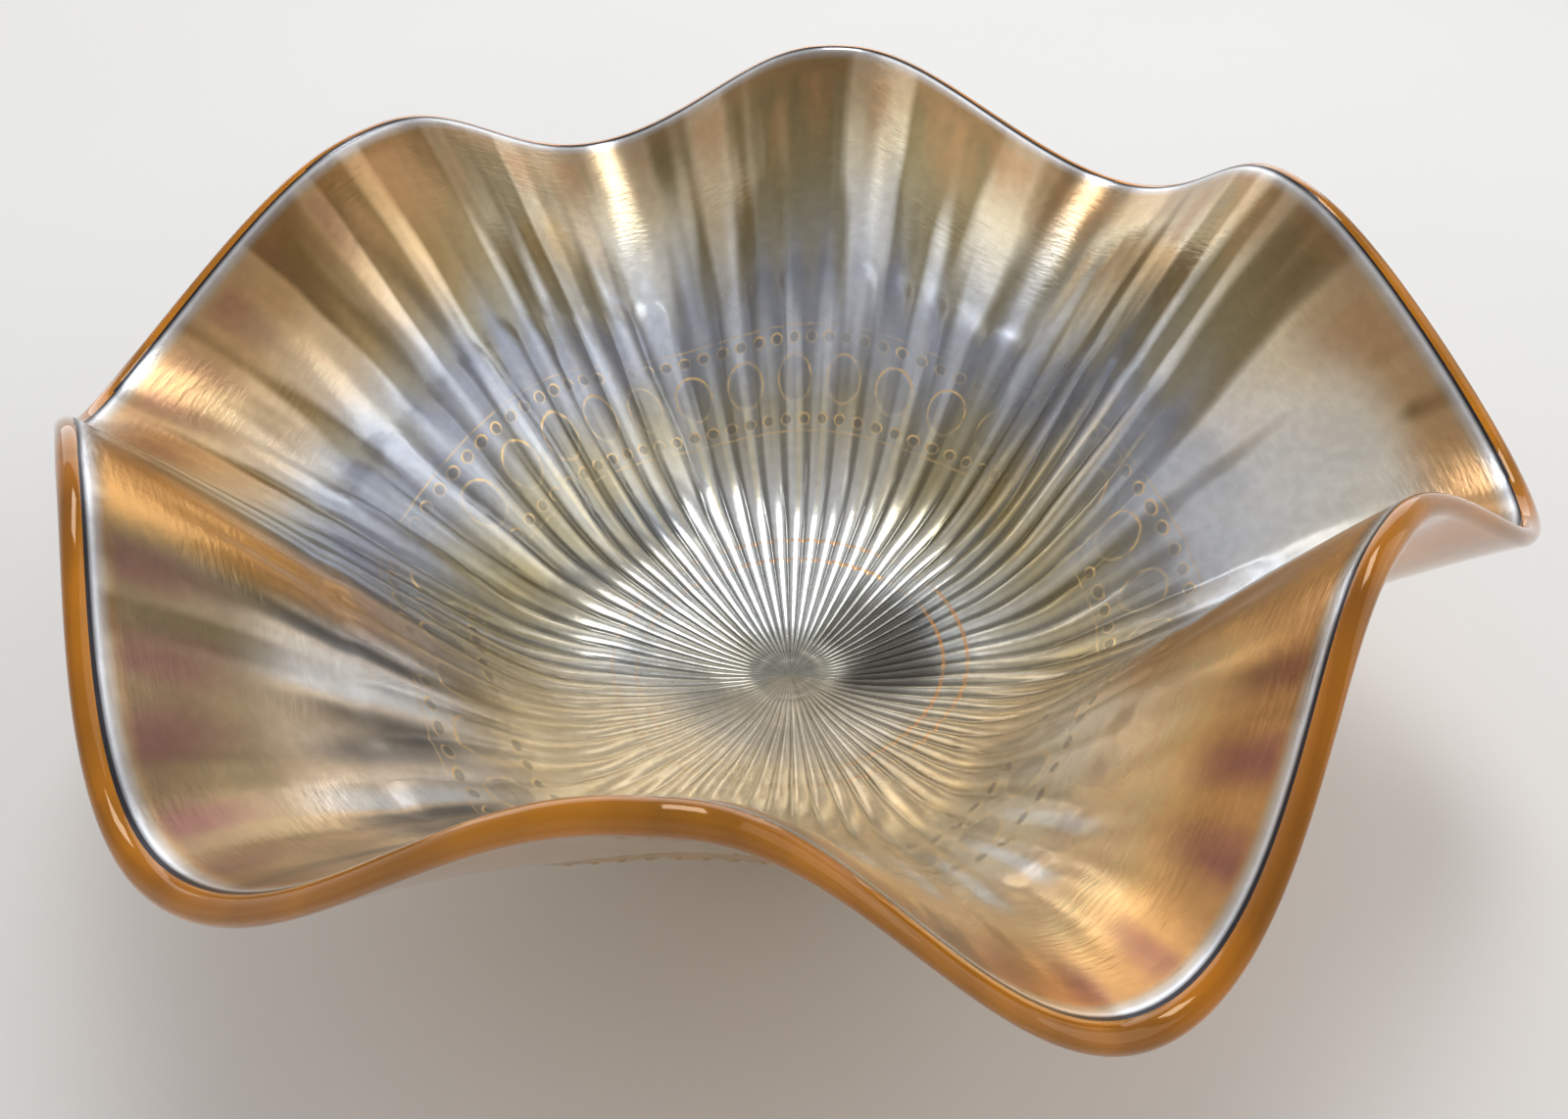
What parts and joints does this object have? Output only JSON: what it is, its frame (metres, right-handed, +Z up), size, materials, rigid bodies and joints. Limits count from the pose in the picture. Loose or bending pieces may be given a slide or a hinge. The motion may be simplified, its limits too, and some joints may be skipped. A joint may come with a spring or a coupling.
{
  "type": "ruffled glass bowl",
  "caption": "Round pressed-glass bowl with a rayed inside, a flaring hand-crimped ruffled rim and a plain collar base, in amber glass with an iridescent film.",
  "frame": {"origin": "centre of the bowl's outline, on the plane that the foot ring rests on", "axes": "+Z up out of the bowl's mouth, +X along its longest width, +Y away from the side seen nearest in the picture"},
  "size_m": [0.2698, 0.2459, 0.106],
  "materials": {
    "foot_glass": "clear amber glass, fire-polished, without the film on its resting face",
    "rayed_glass": "amber glass under a satin iridescent film that shows silver, steel blue, olive and gold",
    "rim_glass": "marigold glass under a glossy iridescent film that shows gold, pink and magenta, with a fire-polished edge"
  },
  "bodies": {
    "root": {"collar_base": "foot_glass", "bowl_body": "rayed_glass", "ruffled_rim": "rim_glass"}
  },
  "joints": []
}
